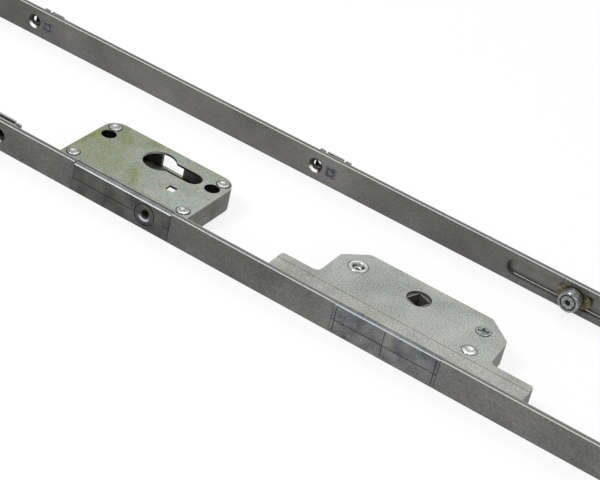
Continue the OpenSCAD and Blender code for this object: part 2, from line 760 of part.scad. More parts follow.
module gearbox_shell() color([0.66, 0.67, 0.64]) from_face() difference() {
  union() {
    translate([0, 0, -half_h]) linear_extrude(plate_t) gear_outline();
    difference() {
      translate([0, 0, -half_h]) linear_extrude(half_h + inner_h) gear_outline();
      translate([0, 0, -inner_h]) linear_extrude(case_h) gear_cavity();
      block(-flange_left - 1, flange_right + 1, 0, channel_y, -inner_h, half_h);
      // Way for the stem of the rack
      block(-stem_half - stroke_back - 0.6, stem_half + stroke_forward + 0.6,
            channel_y - 1, front_wall_y + 1, -inner_h, half_h);
    }
    gear_post(eyelet_x, backset, eyelet_shank_r + 1.6);
    gear_post(stud_x, stud_y, rivet_shank_r + post_wall);
    gear_post(small_rivet_x, small_rivet_y, small_shank_r + post_wall);
    // Ribs that back the rack
    for (x = [[-gear_half + 1, -stem_half - stroke_back - 1],
              [stem_half + stroke_forward + 1, gear_half - 1]])
      block(x[0], x[1], rack_back_y - 1.6, rack_back_y - slide_clear, -half_h + eps, inner_h);
    for (t = [gear_tongue_left, gear_tongue_right]) tongue(t[0], t[1], -half_h, -inner_h);
  }
  block(gear_cover_x0 - cover_gap, gear_cover_x1 + cover_gap,
        0, cover_flange_y + cover_gap, -half_h - 1, -inner_h);
  gear_holes();
}

module gear_holes() {
  through(0, backset, hub_d / 2);
  through(eyelet_x, backset, eyelet_shank_r + run_clear);
  translate([eyelet_x, backset, half_h - eyelet_dish])
    cylinder(r1 = eyelet_shank_r + run_clear, r2 = eyelet_r + run_clear, h = eyelet_dish - gear_sink);
  through(stud_x, stud_y, rivet_shank_r + run_clear);
  through(small_rivet_x, small_rivet_y, small_shank_r + run_clear);
}

module gearbox_cover() color([0.66, 0.67, 0.64]) from_face() difference() {
  union() {
    translate([0, 0, inner_h]) linear_extrude(plate_t) gear_outline();
    for (t = [gear_tongue_left, gear_tongue_right]) tongue(t[0], t[1], inner_h, half_h);
  }
  // Shallow step along the front of the cover
  block(-flange_left - 1, flange_right + 1, 0, 12.9, half_h - 0.15, half_h + 1);
  block(gear_cover_x0 - cover_gap, gear_cover_x1 + cover_gap,
        0, cover_flange_y + cover_gap, inner_h - 1, half_h + 1);
  gear_holes();
  for (p = [[eyelet_x, backset, eyelet_r], [stud_x, stud_y, stud_r],
            [small_rivet_x, small_rivet_y, small_rivet_r]])
    translate([p[0], p[1], half_h - gear_sink]) cylinder(r = p[2] + head_rim, h = 1);
}

// Hollow eyelet: a rolled rim stands on the plate, and the end of the tube lies deep inside it
module gearbox_eyelet() color("gainsboro") from_face() translate([eyelet_x, backset, 0]) rotate_extrude()
  polygon([[1.1, -half_h], [eyelet_shank_r, -half_h], [eyelet_shank_r, half_h - eyelet_dish],
           [eyelet_r, half_h - gear_sink], [eyelet_r, half_h], [eyelet_r - 0.3, half_h + 0.3],
           [eyelet_r - 0.8, half_h + 0.5], [eyelet_r - 1.3, half_h + 0.5], [eyelet_r - 1.8, half_h + 0.3],
           [eyelet_r - 2.1, half_h - 0.1], [eyelet_r - 2.2, half_h - 0.9], [eyelet_r - 2.4, half_h - 1.6],
           [2.2, half_h - 1.6], [2, half_h - 1.2], [1.6, half_h - 1.1], [1.1, half_h - 1.6]]);

// Stud with a cross-cut head
module gearbox_cross_stud() color("gainsboro") from_face() translate([stud_x, stud_y, 0]) difference() {
  union() {
    translate([0, 0, -half_h]) cylinder(r = rivet_shank_r, h = case_h);
    translate([0, 0, half_h - gear_sink]) cylinder(r = stud_r, h = 0.5);
  }
  for (a = [20, 110]) rotate([0, 0, a]) translate([-2.5, -0.55, half_h - 0.6]) cube([5, 1.1, 2]);
}

module gearbox_rivet() color("gainsboro") from_face() translate([small_rivet_x, small_rivet_y, 0]) {
  translate([0, 0, -half_h]) cylinder(r = small_shank_r, h = case_h);
  translate([0, 0, half_h - gear_sink]) rivet_dome(small_rivet_r, 0.7);
}

// Involute teeth of the hub
pressure = 20;
base_r = pitch_r * cos(pressure);
tip_r = pitch_r + tooth_out;
root_r = pitch_r - tooth_in;
function involute_angle(r) = r <= base_r ? 0 :
  let (t = sqrt(pow(r / base_r, 2) - 1)) t * 180 / PI - atan(t);
half_tooth = (tooth_pitch / 2 - backlash) / (2 * pitch_r) * 180 / PI + involute_angle(pitch_r);
flank_steps = 5;
flank_r = [for (i = [0:flank_steps]) base_r + (tip_r - base_r) * i / flank_steps];
function polar(r, a) = [r * cos(a), r * sin(a)];
module hub_teeth() {
  polygon([for (k = [0:teeth - 1]) let (mid = -90 + k * 360 / teeth)
    each concat([polar(root_r, mid - half_tooth)],
                [for (r = flank_r) polar(r, mid - half_tooth + involute_angle(r))],
                [for (i = [flank_steps:-1:0])
                 polar(flank_r[i], mid + half_tooth - involute_angle(flank_r[i]))],
                [polar(root_r, mid + half_tooth)])]);
}

gear_face = inner_h - 0.8;
journal_r = hub_d / 2 - run_clear;
hub_sink = 0.95;
module spindle_hub() color("dimgray") from_face() translate([0, backset, 0]) difference() {
  union() {
    translate([0, 0, -gear_face]) linear_extrude(2 * gear_face) hub_teeth();
    translate([0, 0, -half_h + hub_sink]) cylinder(r = journal_r, h = case_h - 2 * hub_sink);
  }
  rotate([0, 0, spindle_turn])
    translate([-spindle_side / 2, -spindle_side / 2, -half_h]) cube([spindle_side, spindle_side, case_h]);
}

// Thrust washers above and below the teeth
washer_t = inner_h - gear_face - slide_clear;
module hub_washers() color("ivory") from_face() translate([0, backset, 0]) {
  for (z = [-inner_h, inner_h - washer_t]) translate([0, 0, z]) difference() {
    cylinder(r = 9, h = washer_t);
    translate([0, 0, -1]) cylinder(r = journal_r + slide_clear, h = washer_t + 2);
  }
}

// Toothed rack with a stem and a peg that seats in the rod
module rack_slide() color("darkgray") from_face() {
  rack_h = gear_face;
  tan_p = tan(pressure);
  tooth_half = tooth_pitch / 4 - backlash / 2;
  foot = tooth_half + tooth_in * tan_p;
  tip = tooth_half - tooth_out * tan_p;
  first = ceil((rack_x0 + foot) / tooth_pitch - 0.5);
  last = floor((rack_x1 - foot) / tooth_pitch - 0.5);
  translate([0, 0, -rack_h]) linear_extrude(2 * rack_h) {
    translate([rack_x0, rack_back_y]) square([rack_x1 - rack_x0, rack_teeth_y - tooth_in - rack_back_y]);
    for (k = [first:last]) translate([(k + 0.5) * tooth_pitch, rack_teeth_y])
      polygon([[-foot, -tooth_in - eps], [-tip, tooth_out], [tip, tooth_out], [foot, -tooth_in - eps]]);
    translate([-stem_half, rod_back]) square([2 * stem_half, rack_back_y - rod_back + eps]);
  }
  block(-peg_w / 2, peg_w / 2, rod_y + 0.1, rod_back + eps, -peg_h / 2, peg_h / 2);
}

// Base of a roller: it fills the slot and is held to the rod by a peg
shank_r = 1.9;
module roller_base(x) {
  band_h = roller_slot_w - 0.4;
  mid = x + pin_offset;
  difference() {
    union() {
      slot_y(mid - base_len / 2, mid + base_len / 2, band_h, base_front, rod_y);
      block(x - peg_w / 2, x + peg_w / 2, rod_y - eps, rod_back, -peg_h / 2, peg_h / 2);
    }
    rod_along_y(x, -1, shank_r + run_clear, 8);
  }
}

// Eccentric pin: a head with a star recess, a roller journal and an offset shank in the base
journal_pin_r = 3;
pin_head_h = 1.2;
module eccentric_pin(x) {
  difference() {
    union() {
      rod_along_y(x + pin_offset, -roller_out, pin_head_d / 2, pin_head_h);
      rod_along_y(x + pin_offset, -roller_out + pin_head_h - eps, journal_pin_r, roller_len - pin_head_h);
      rod_along_y(x, -roller_gap - 2 * eps, shank_r, rod_back + roller_gap - 0.4);
    }
    // Six-lobed star recess
    translate([x + pin_offset, -roller_out - 1, 0]) rotate([-90, 0, 0]) linear_extrude(2.6) {
      circle(1.25);
      for (a = [0:60:300]) rotate(a) translate([1.25, 0]) circle(0.42);
    }
  }
}

// Roller with a fine groove round it and a counterbore for the pin's head
module roller(x) {
  r = roller_d / 2;
  bore = journal_pin_r + run_clear;
  counterbore = pin_head_d / 2 + 0.35;
  translate([x + pin_offset, 0, 0]) rotate([90, 0, 0]) rotate_extrude()
    polygon([[bore, roller_gap], [r - 0.4, roller_gap], [r, roller_gap + 0.4], [r, roller_out - 2.2],
             [r - 0.5, roller_out - 1.9], [r, roller_out - 1.6], [r, roller_out - 0.6], [r - 0.6, roller_out],
             [counterbore, roller_out], [counterbore, roller_out - pin_head_h - 0.1],
             [bore, roller_out - pin_head_h - 0.1]]);
}

module main_roller_base() color("darkkhaki") from_face() roller_base(main_roller_x);
module main_eccentric_pin() color("silver") from_face() eccentric_pin(main_roller_x);
module main_roller() color("lightgray") from_face() roller(main_roller_x);
module extension_roller_base() color("darkkhaki") from_face(strip_apart) roller_base(ext_roller_x);
module extension_eccentric_pin() color("silver") from_face(strip_apart) eccentric_pin(ext_roller_x);
module extension_roller() color("lightgray") from_face(strip_apart) roller(ext_roller_x);

main_faceplate_left();
main_faceplate_middle();
main_faceplate_right();
main_drive_rod();
main_guide_left();
main_guide_right();
main_pad_left();
main_pad_right();
main_guide_rivets();
cylinder_case_lower();
cylinder_case_upper();
cylinder_case_rivets();
cylinder_front_cover();
cylinder_screw_block();
cylinder_grub_screw();
locking_slide();
slide_guide_pins();
slide_spring();
gearbox_shell();
gearbox_cover();
gearbox_front_cover();
gearbox_eyelet();
gearbox_cross_stud();
gearbox_rivet();
spindle_hub();
hub_washers();
rack_slide();
main_roller_base();
main_eccentric_pin();
main_roller();
extension_faceplate();
extension_drive_rod();
extension_guide_outer();
extension_guide_middle();
extension_guide_right();
extension_pad_outer();
extension_pad_middle();
extension_pad_right();
extension_guide_rivets();
extension_roller_base();
extension_eccentric_pin();
extension_roller();
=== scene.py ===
import math

import bpy
from mathutils import Matrix, Vector


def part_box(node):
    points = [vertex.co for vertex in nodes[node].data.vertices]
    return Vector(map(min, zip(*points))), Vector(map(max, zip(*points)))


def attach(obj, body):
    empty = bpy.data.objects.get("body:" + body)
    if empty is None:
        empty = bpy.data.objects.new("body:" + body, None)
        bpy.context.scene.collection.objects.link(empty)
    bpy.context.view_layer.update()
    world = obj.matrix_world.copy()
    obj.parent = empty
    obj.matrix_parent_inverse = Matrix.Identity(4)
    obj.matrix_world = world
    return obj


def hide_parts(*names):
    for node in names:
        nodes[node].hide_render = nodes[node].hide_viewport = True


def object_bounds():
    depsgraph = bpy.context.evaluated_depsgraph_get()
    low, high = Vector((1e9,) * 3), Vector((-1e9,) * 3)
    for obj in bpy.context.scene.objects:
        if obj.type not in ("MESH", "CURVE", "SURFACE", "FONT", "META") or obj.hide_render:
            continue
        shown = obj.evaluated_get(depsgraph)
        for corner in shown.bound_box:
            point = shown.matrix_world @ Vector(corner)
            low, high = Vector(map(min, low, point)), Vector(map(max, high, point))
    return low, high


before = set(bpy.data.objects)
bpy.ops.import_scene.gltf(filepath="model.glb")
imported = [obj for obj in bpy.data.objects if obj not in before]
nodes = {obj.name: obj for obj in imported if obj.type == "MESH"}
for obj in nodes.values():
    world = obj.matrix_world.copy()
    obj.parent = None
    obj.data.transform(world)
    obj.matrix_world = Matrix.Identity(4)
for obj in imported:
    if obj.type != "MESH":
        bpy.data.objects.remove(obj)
cad_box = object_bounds()
bpy.ops.object.select_all(action="DESELECT")

# Faceplates: steel strip 16 mm wide, slit from coil, with a dark satin silver-grey coating.
# The front shows rolling lines along the strip and a soft cloud; the edges are drawn bright,
# rubbed where the strip slides in the groove of the door, and with a painted highlight on the
# corners.
CORNER_FROM = 0.0074  # the bevels of the upper and lower corners start here, from the middle
REAR_CORNER = 0.0023  # behind the front
CORNER_EDGE = 0.0003
SINK_RADIUS = 0.0042
main_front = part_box("main_faceplate_left")[0][1]
extension_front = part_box("extension_faceplate")[0][1]


def linear(hex_code):
    """sRGB hex to the linear colour that Blender's sockets take."""
    out = []
    for i in (0, 2, 4):
        c = int(hex_code[i:i + 2], 16) / 255
        out.append(c / 12.92 if c <= 0.04045 else ((c + 0.055) / 1.055) ** 2.4)
    return (*out, 1.0)


def in_use(sockets, name=None):
    """The first socket, or the first with this name, that a node's settings leave in use."""
    return next(s for s in sockets if s.enabled and name in (None, s.name))


def lead(source, socket):
    """Links a node or one of its outputs to the socket, or puts a plain value in it."""
    if isinstance(source, bpy.types.Node):
        source = in_use(source.outputs)
    if isinstance(source, bpy.types.NodeSocket):
        socket.id_data.links.new(socket, source)
    else:
        socket.default_value = source


def add(tree, kind, *inputs, ramp=None, **settings):
    """One shader node. Inputs are (socket, source), by number or name; settings are properties
    of the node, or values of its sockets. A ramp is a list of (place, hex colour or grey)."""
    node = tree.nodes.new(kind)
    values = []
    for key, value in settings.items():
        if hasattr(node, key):
            setattr(node, key, value)
        else:
            values.append((key.replace("_", " "), value))
    for key, source in (*values, *inputs):
        lead(source, node.inputs[key] if isinstance(key, int) else in_use(node.inputs, key))
    if ramp:
        stops = node.color_ramp.elements
        while len(stops) < len(ramp):
            stops.new(0.5)
        for stop, (place, colour) in zip(stops, ramp):
            stop.position = place
            stop.color = linear(colour) if isinstance(colour, str) else (*[colour] * 3, 1)
    return node


def new_material(name, metallic, roughness):
    """An empty finish: its tree, its shader and the Object coordinates in metres."""
    mat = bpy.data.materials.new(name)
    mat.use_nodes = True
    tree = mat.node_tree
    tree.nodes.clear()
    shader = add(tree, "ShaderNodeBsdfPrincipled", Metallic=metallic, Roughness=roughness)
    add(tree, "ShaderNodeOutputMaterial", ("Surface", shader))
    return mat, tree, shader, add(tree, "ShaderNodeTexCoord").outputs["Object"]


def feed(shader, **sources):
    """Leads each source to the shader's socket of that name."""
    for key, source in sources.items():
        lead(source, shader.inputs[key.replace("_", " ")])


def give(mat, *names):
    """The finish alone on each of these CAD nodes."""
    for name in names:
        mesh = nodes[name].data
        mesh.materials.clear()
        mesh.materials.append(mat)


def facing_up(tree):
    """1 on faces that look up or down, 0 on the upright ones."""
    look = add(tree, "ShaderNodeNewGeometry")
    part = add(tree, "ShaderNodeSeparateXYZ", (0, look.outputs["True Normal"]))
    upright = add(tree, "ShaderNodeMath", (0, part.outputs["Z"]), operation="ABSOLUTE")
    return add(tree, "ShaderNodeMapRange", ("Value", upright), From_Min=0.55, From_Max=0.9)


def worn_edges_and_painted_highlight(tree, width):
    """1 along outer edges, which are drawn bright as wear and painted highlight, 0 on flats and in
    corners; width in metres."""
    rounded = add(tree, "ShaderNodeBevel", samples=8, Radius=width)
    flat = add(tree, "ShaderNodeNewGeometry")
    along = add(tree, "ShaderNodeVectorMath", (0, rounded), (1, flat.outputs["True Normal"]),
                operation="DOT_PRODUCT")
    turn = add(tree, "ShaderNodeMapRange", ("Value", along), From_Min=0.985, From_Max=0.86)
    air = add(tree, "ShaderNodeAmbientOcclusion", samples=8, Distance=2 * width)
    outer = add(tree, "ShaderNodeMapRange", ("Value", air.outputs["AO"]),
                From_Min=0.75, From_Max=0.97)
    return add(tree, "ShaderNodeMath", (0, turn), (1, outer), operation="MULTIPLY")


def shade_painted_in_recesses(tree, colour, reach, floor):
    """The colour with painted shade: down to floor times itself in grooves, seats and holes
    that are narrower than reach in metres."""
    air = add(tree, "ShaderNodeAmbientOcclusion", samples=8, Distance=reach)
    shade = add(tree, "ShaderNodeMapRange", ("Value", air.outputs["AO"]),
                From_Min=0.3, From_Max=0.8, To_Min=floor)
    return add(tree, "ShaderNodeMix", ("A", colour), ("B", shade), Factor=1.0,
               data_type="RGBA", blend_type="MULTIPLY")


def to_nearest(tree, place, spots, counts):
    """Distance in metres to the nearest of the spots; counts has 1 for each of x, y and z that
    counts, and 0 for the others."""
    nearest = None
    for spot in spots:
        off = add(tree, "ShaderNodeVectorMath", (0, place), (1, spot), operation="SUBTRACT")
        part = add(tree, "ShaderNodeVectorMath", (0, off), (1, counts), operation="MULTIPLY")
        away = add(tree, "ShaderNodeVectorMath", (0, part), operation="LENGTH")
        if nearest:
            away = add(tree, "ShaderNodeMath", (0, nearest), (1, away), operation="MINIMUM")
        nearest = away
    return nearest


# A noise of scale N has marks of about 1000 / N mm. Rolling lines are 0.25 mm apart on the real
# strip, drawn 0.5 mm apart so that they show; the cloud of the coating is 20 mm across, its drift
# along the strip 110 mm, and its grain 0.8 mm
coated_strip, t, bsdf, place = new_material("dark satin coated steel strip", 0.5, 0.42)
stretch = add(t, "ShaderNodeMapping", ("Vector", place), Scale=(60, 2000, 2000))
lines = add(t, "ShaderNodeTexNoise", ("Vector", stretch), Scale=1, Detail=3)
cloud = add(t, "ShaderNodeTexNoise", ("Vector", place), Scale=50, Detail=4)
drift = add(t, "ShaderNodeTexNoise", ("Vector", place), Scale=9, Detail=1)
grain = add(t, "ShaderNodeTexNoise", ("Vector", place), Scale=1300, Detail=3, Roughness=0.7)
soft = add(t, "ShaderNodeMix", ("A", cloud), ("B", drift), Factor=0.6)
fine = add(t, "ShaderNodeMix", ("A", lines), ("B", grain), Factor=0.78)
mixed = add(t, "ShaderNodeMix", ("A", soft), ("B", fine), Factor=0.5)
front = add(t, "ShaderNodeValToRGB", (0, mixed),
            ramp=[(0.38, "434241"), (0.5, "5E5D5B"), (0.62, "797876")])
# The slit edges above and below are smooth; their corners are drawn light, as wear and painted
# highlight
up = facing_up(t)
edge_side = add(t, "ShaderNodeMix", ("Factor", up), ("A", front), B=linear("646462"),
                data_type="RGBA")
at = add(t, "ShaderNodeSeparateXYZ", (0, place))
height = add(t, "ShaderNodeMath", (0, at.outputs["Z"]), operation="ABSOLUTE")
corner = add(t, "ShaderNodeMath", (0, height), (1, CORNER_FROM), operation="GREATER_THAN")
look = add(t, "ShaderNodeNewGeometry")
way = add(t, "ShaderNodeSeparateXYZ", (0, look.outputs["True Normal"]))
slope = add(t, "ShaderNodeMath", (0, way.outputs["Y"]), operation="ABSOLUTE")
slanted = add(t, "ShaderNodeMath", (0, slope), (1, 0.707), (2, 0.12), operation="COMPARE")
wear_and_highlight = add(t, "ShaderNodeMath", (0, slanted), (1, worn_edges_and_painted_highlight(t, CORNER_EDGE)),
           operation="MAXIMUM")
bevel = add(t, "ShaderNodeMath", (0, corner), (1, wear_and_highlight), operation="MULTIPLY")
rubbed = add(t, "ShaderNodeMix", ("Factor", bevel), ("A", edge_side), B=linear("B8B8B6"),
             data_type="RGBA")
# A painted highlight runs along the rear corner as well, over 0.4 mm
depth = to_nearest(t, place, [(0, main_front, 0), (0, extension_front, 0)], (0, 1, 0))
rear = add(t, "ShaderNodeMath", (0, depth), (1, REAR_CORNER), (2, 0.0002), operation="COMPARE")
rear_up = add(t, "ShaderNodeMath", (0, rear), (1, up), operation="MULTIPLY")
painted_rear_highlight = add(t, "ShaderNodeMath", (0, rear_up), (1, corner), operation="MULTIPLY")
rubbed = add(t, "ShaderNodeMix", ("Factor", painted_rear_highlight), ("A", rubbed), B=linear("A6A6A2"),
             data_type="RGBA")
# The countersinks are cut through the coating: a painted highlight round the mouth below, on the
# faces of the cone that look up, and painted shade above and deeper in
inner = add(t, "ShaderNodeMath", (0, height), (1, SINK_RADIUS), operation="LESS_THAN")
cone = add(t, "ShaderNodeMath", (0, inner), (1, slanted), operation="MULTIPLY")
aslant = add(t, "ShaderNodeVectorMath", (0, look.outputs["True Normal"]), (1, (0.28, 0, 0.96)),
             operation="DOT_PRODUCT")
below = add(t, "ShaderNodeMapRange", ("Value", aslant), From_Min=0.46, From_Max=0.6)
mouth = add(t, "ShaderNodeMapRange", ("Value", depth), From_Min=0.0012, From_Max=0.0008)
bare = add(t, "ShaderNodeMath", (0, below), (1, mouth), operation="MULTIPLY")
inward = add(t, "ShaderNodeMapRange", ("Value", depth), From_Max=0.0018)
painted_sink_shade = add(t, "ShaderNodeValToRGB", (0, inward),
           ramp=[(0.0, "4C4A47"), (0.35, "2C2A28"), (1.0, "161412")])
# The cone's colour: the painted highlight over the painted shade
steel = add(t, "ShaderNodeMix", ("Factor", bare), ("A", painted_sink_shade), B=linear("E6E6E4"),
            data_type="RGBA")
colour = add(t, "ShaderNodeMix", ("Factor", cone), ("A", rubbed), ("B", steel), data_type="RGBA")
# Bare steel is duller on the corners, and a little more metallic in the countersinks
sheen = add(t, "ShaderNodeMapRange", ("Value", mixed), From_Min=0.3, From_Max=0.7,
            To_Min=0.36, To_Max=0.5)
dull = add(t, "ShaderNodeMix", ("Factor", bevel), ("A", sheen), B=0.6)
smooth = add(t, "ShaderNodeMix", ("Factor", cone), ("A", dull), B=0.5)
shiny = add(t, "ShaderNodeMath", (0, cone), (1, bare), operation="MULTIPLY")
metal = add(t, "ShaderNodeMapRange", ("Value", shiny), To_Min=0.5, To_Max=0.6)
rounded = add(t, "ShaderNodeBevel", samples=6, Radius=0.0005)
relief = add(t, "ShaderNodeBump", ("Height", fine), ("Normal", rounded),
             Strength=0.15, Distance=0.0001)
# Painted shade darkens the grooves, seats and holes
feed(bsdf, Base_Color=shade_painted_in_recesses(t, colour, 0.0015, 0.3), Roughness=smooth, Metallic=metal,
     Normal=relief)
give(coated_strip, "main_faceplate_left", "main_faceplate_middle", "main_faceplate_right",
     "extension_faceplate")

# Drive rods: flat zinc-plated steel bar that slides behind the faceplate on its guides.
# In the roller slot its face shows nearly as dark as the faceplate, with marks of the sliding:
# drawing lines 0.7 mm apart and clouds of 8 mm. The rack and the locking slide are the same bar.
plated_rod, t, bsdf, place = new_material("drawn zinc-plated steel bar", 0.7, 0.4)
stretch = add(t, "ShaderNodeMapping", ("Vector", place), Scale=(30, 1500, 1500))
lines = add(t, "ShaderNodeTexNoise", ("Vector", stretch), Scale=1, Detail=4)
cloud = add(t, "ShaderNodeTexNoise", ("Vector", place), Scale=120, Detail=3)
mixed = add(t, "ShaderNodeMix", ("A", lines), ("B", cloud), Factor=0.4)
tone = add(t, "ShaderNodeValToRGB", (0, mixed),
           ramp=[(0.36, "5E5F5C"), (0.5, "6B6C69"), (0.66, "7A7B77")])
relief = add(t, "ShaderNodeBump", ("Height", lines), Strength=0.15, Distance=0.0001)
# Painted shade darkens the slot ends and grooves
feed(bsdf, Base_Color=shade_painted_in_recesses(t, tone, 0.0006, 0.6), Normal=relief)
give(plated_rod, "main_drive_rod", "extension_drive_rod", "rack_slide", "locking_slide")

# Guides: small zinc die-castings that straddle the rod behind the faceplate. They come out of the
# die bare, light grey and finely matt (grain drawn at 0.9 mm, clouds at 6 mm); their edges are
# drawn bright, as wear and painted highlight.
guide_casting, t, bsdf, place = new_material("bare zinc die-casting of the guides", 0.6, 0.38)
grain = add(t, "ShaderNodeTexNoise", ("Vector", place), Scale=1100, Detail=4)
cloud = add(t, "ShaderNodeTexNoise", ("Vector", place), Scale=180, Detail=2)
mixed = add(t, "ShaderNodeMix", ("A", grain), ("B", cloud), Factor=0.5)
tone = add(t, "ShaderNodeValToRGB", (0, mixed),
           ramp=[(0.36, "6C6F71"), (0.5, "888B8C"), (0.64, "A2A4A4")])
# Tops of the lips and tabs are drawn lighter: burnished by the groove of the door, and with
# painted light from above
burnished_and_lit_tops = add(t, "ShaderNodeMix", ("Factor", facing_up(t)), ("A", tone), B=linear("B9BBBB"),
                data_type="RGBA")
at = add(t, "ShaderNodeSeparateXYZ", (0, place))
height = add(t, "ShaderNodeMath", (0, at.outputs["Z"]), operation="ABSOLUTE")
# The outer edges are drawn bright, as wear and painted highlight
outer = add(t, "ShaderNodeMapRange", ("Value", height), From_Min=0.0035, From_Max=0.0045)
wear_and_highlight = add(t, "ShaderNodeMath", (0, outer), (1, worn_edges_and_painted_highlight(t, 0.0003)), operation="MULTIPLY")
edge_wear_and_highlight = add(t, "ShaderNodeMix", ("Factor", wear_and_highlight), ("A", burnished_and_lit_tops), B=linear("D4D5D5"),
           data_type="RGBA")
# Behind the screw holes the casting is painted near black, as painted shade
colour = add(t, "ShaderNodeMix", ("Factor", outer), ("B", edge_wear_and_highlight), A=linear("1F1D1B"),
             data_type="RGBA")
relief = add(t, "ShaderNodeBump", ("Height", grain), Strength=0.25, Distance=0.0001)
# Painted shade darkens the grooves and corners
feed(bsdf, Base_Color=shade_painted_in_recesses(t, colour, 0.002, 0.25), Normal=relief)
give(guide_casting, "main_guide_left", "main_guide_right", "extension_guide_outer",
     "extension_guide_middle", "extension_guide_right")

# Pads: black moulded polyacetal that the rod slides past without a rattle, snapped on the guide's
# peg. Moulded plastic is even and slightly waxy; its spark-eroded grain is finer than 0.1 mm on
# the real pad, drawn at 0.4 mm.
pad_plastic, t, bsdf, place = new_material("black moulded polyacetal", 0.0, 0.6)
grain = add(t, "ShaderNodeTexNoise", ("Vector", place), Scale=2500, Detail=2)
tone = add(t, "ShaderNodeValToRGB", (0, grain), ramp=[(0.35, "09090A"), (0.7, "151517")])
relief = add(t, "ShaderNodeBump", ("Height", grain), Strength=0.2, Distance=0.00005)
feed(bsdf, Base_Color=tone, Normal=relief)
give(pad_plastic, "main_pad_left", "main_pad_right", "extension_pad_outer",
     "extension_pad_middle", "extension_pad_right")

# Guide rivets: cold-headed steel with a square head that sits flush in its seat in the faceplate.
# The punch leaves a sunk ring round a raised square on the head; a dark gap of 0.1 mm shows round
# it. The rim of the head is rubbed light, and the ring is painted darker, as painted shade.
HEAD = 0.0062
HEAD_CORNER = 0.0018
HEAD_THICK = 0.001
RIM = 0.00015
RIM_PROUD = 0.0001
LAND = 0.00045
RING_SIDE = 0.00015
RING_DEEP = 0.0003
RING_BEHIND = 0.00004  # faces further behind the front than this belong to the ring
RIM_FROM = 0.0018  # faces further from the axis than this belong to the rim
SHANK_IN = 0.0011
SHANK_TAPER = 0.72
SHANK_END = 0.0065
BOSS = 0.0027
BOSS_THICK = 0.0006
BOSS_CORNER = 0.001
BOSS_EDGE = 0.00012
BOSS_RISE = 0.00006


def mottled(name, metallic, roughness, scale, detail, tones):
    """A plain finish with one cloud of tones."""
    mat, tree, shader, place = new_material(name, metallic, roughness)
    cloud = add(tree, "ShaderNodeTexNoise", ("Vector", place), Scale=scale, Detail=detail)
    feed(shader, Base_Color=add(tree, "ShaderNodeValToRGB", (0, cloud), ramp=tones))
    return mat


headed_steel, t, bsdf, place = new_material("cold-headed dark plated steel", 0.6, 0.4)
grain = add(t, "ShaderNodeTexNoise", ("Vector", place), Scale=900, Detail=4)
tone = add(t, "ShaderNodeValToRGB", (0, grain),
           ramp=[(0.35, "4E5157"), (0.5, "60636A"), (0.68, "75777D")])
relief = add(t, "ShaderNodeBump", ("Height", grain), Strength=0.3, Distance=0.0001)
# Painted shade darkens the ring, seat and corners
feed(bsdf, Base_Color=shade_painted_in_recesses(t, tone, 0.0006, 0.25), Normal=relief)
worn_rim = mottled("rubbed rim of the steel head", 0.7, 0.4, 900, 4,
                   [(0.38, "5C6067"), (0.62, "787C84")])
# The sunk ring gets a darker copy of the steel: painted shade
sunk_ring = mottled("painted shade in the punched ring", 0.4, 0.55, 900, 4,
                    [(0.38, "383B40"), (0.62, "4A4E54")])


def pick(edge=None, face=None):
    """In edit mode: selects the edges or faces that the test says yes to, and nothing else."""
    bpy.ops.mesh.select_mode(type="EDGE" if edge else "FACE")
    bpy.ops.object.mode_set(mode="OBJECT")
    mesh = bpy.context.object.data
    for v in mesh.vertices:
        v.select = False
    for e in mesh.edges:
        e.select = bool(edge and edge([mesh.vertices[i].co for i in e.vertices]))
    for f in mesh.polygons:
        f.select = bool(face and face(f))
    bpy.ops.object.mode_set(mode="EDIT")


def square_block(x, front, wide, thick, corner):
    """A square block with rounded corners behind the plane y = front; its front face is picked."""
    bpy.ops.mesh.primitive_cube_add(size=1, location=(x, front + thick / 2, 0),
                                    scale=(wide, thick, wide))
    bpy.ops.object.transform_apply(location=True, rotation=True, scale=True)
    bpy.ops.object.mode_set(mode="EDIT")
    pick(edge=lambda ends: abs(ends[0].y - ends[1].y) > thick / 2)
    bpy.ops.mesh.bevel(offset=corner, segments=5, affect="EDGES")
    pick(face=lambda f: f.normal.y < -0.9)
    return bpy.context.object


def guide_rivet(name, x, front, node):
    """One rivet: the head with its rim and ring, the shank, and the raised square."""
    head = square_block(x, front, HEAD, HEAD_THICK, HEAD_CORNER)
    bpy.ops.mesh.inset(thickness=RIM, depth=0)
    bpy.ops.transform.translate(value=(0, -RIM_PROUD, 0))
    bpy.ops.mesh.inset(thickness=LAND, depth=0)
    bpy.ops.mesh.inset(thickness=RING_SIDE, depth=-RING_DEEP)
    # The shank goes through the faceplate and the guide
    pick(face=lambda f: f.normal.y > 0.9)
    bpy.ops.mesh.inset(thickness=SHANK_IN, depth=0)
    bpy.ops.mesh.extrude_region_move(
        TRANSFORM_OT_translate={"value": (0, SHANK_END - HEAD_THICK, 0)})
    bpy.ops.transform.resize(value=(SHANK_TAPER, 1, SHANK_TAPER), center_override=(x, front, 0))
    bpy.ops.object.mode_set(mode="OBJECT")
    # The raised square that the punch leaves in the middle, as proud as the rim
    square_block(x, front - RIM_PROUD, BOSS, BOSS_THICK, BOSS_CORNER)
    bpy.ops.mesh.inset(thickness=BOSS_EDGE, depth=BOSS_RISE)
    bpy.ops.object.mode_set(mode="OBJECT")
    head.select_set(True)
    bpy.context.view_layer.objects.active = head
    bpy.ops.object.join()
    head.name = head.data.name = name
    for mat in (headed_steel, worn_rim, sunk_ring):
        head.data.materials.append(mat)
    for face in head.data.polygons:
        looks_out = face.normal.y < -0.3
        if looks_out and face.center.y > front + RING_BEHIND:
            face.material_index = 2
        elif looks_out and math.hypot(face.center.x - x, face.center.z) > RIM_FROM:
            face.material_index = 1
    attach(head, "frame")
    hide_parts(node)
    head.select_set(False)


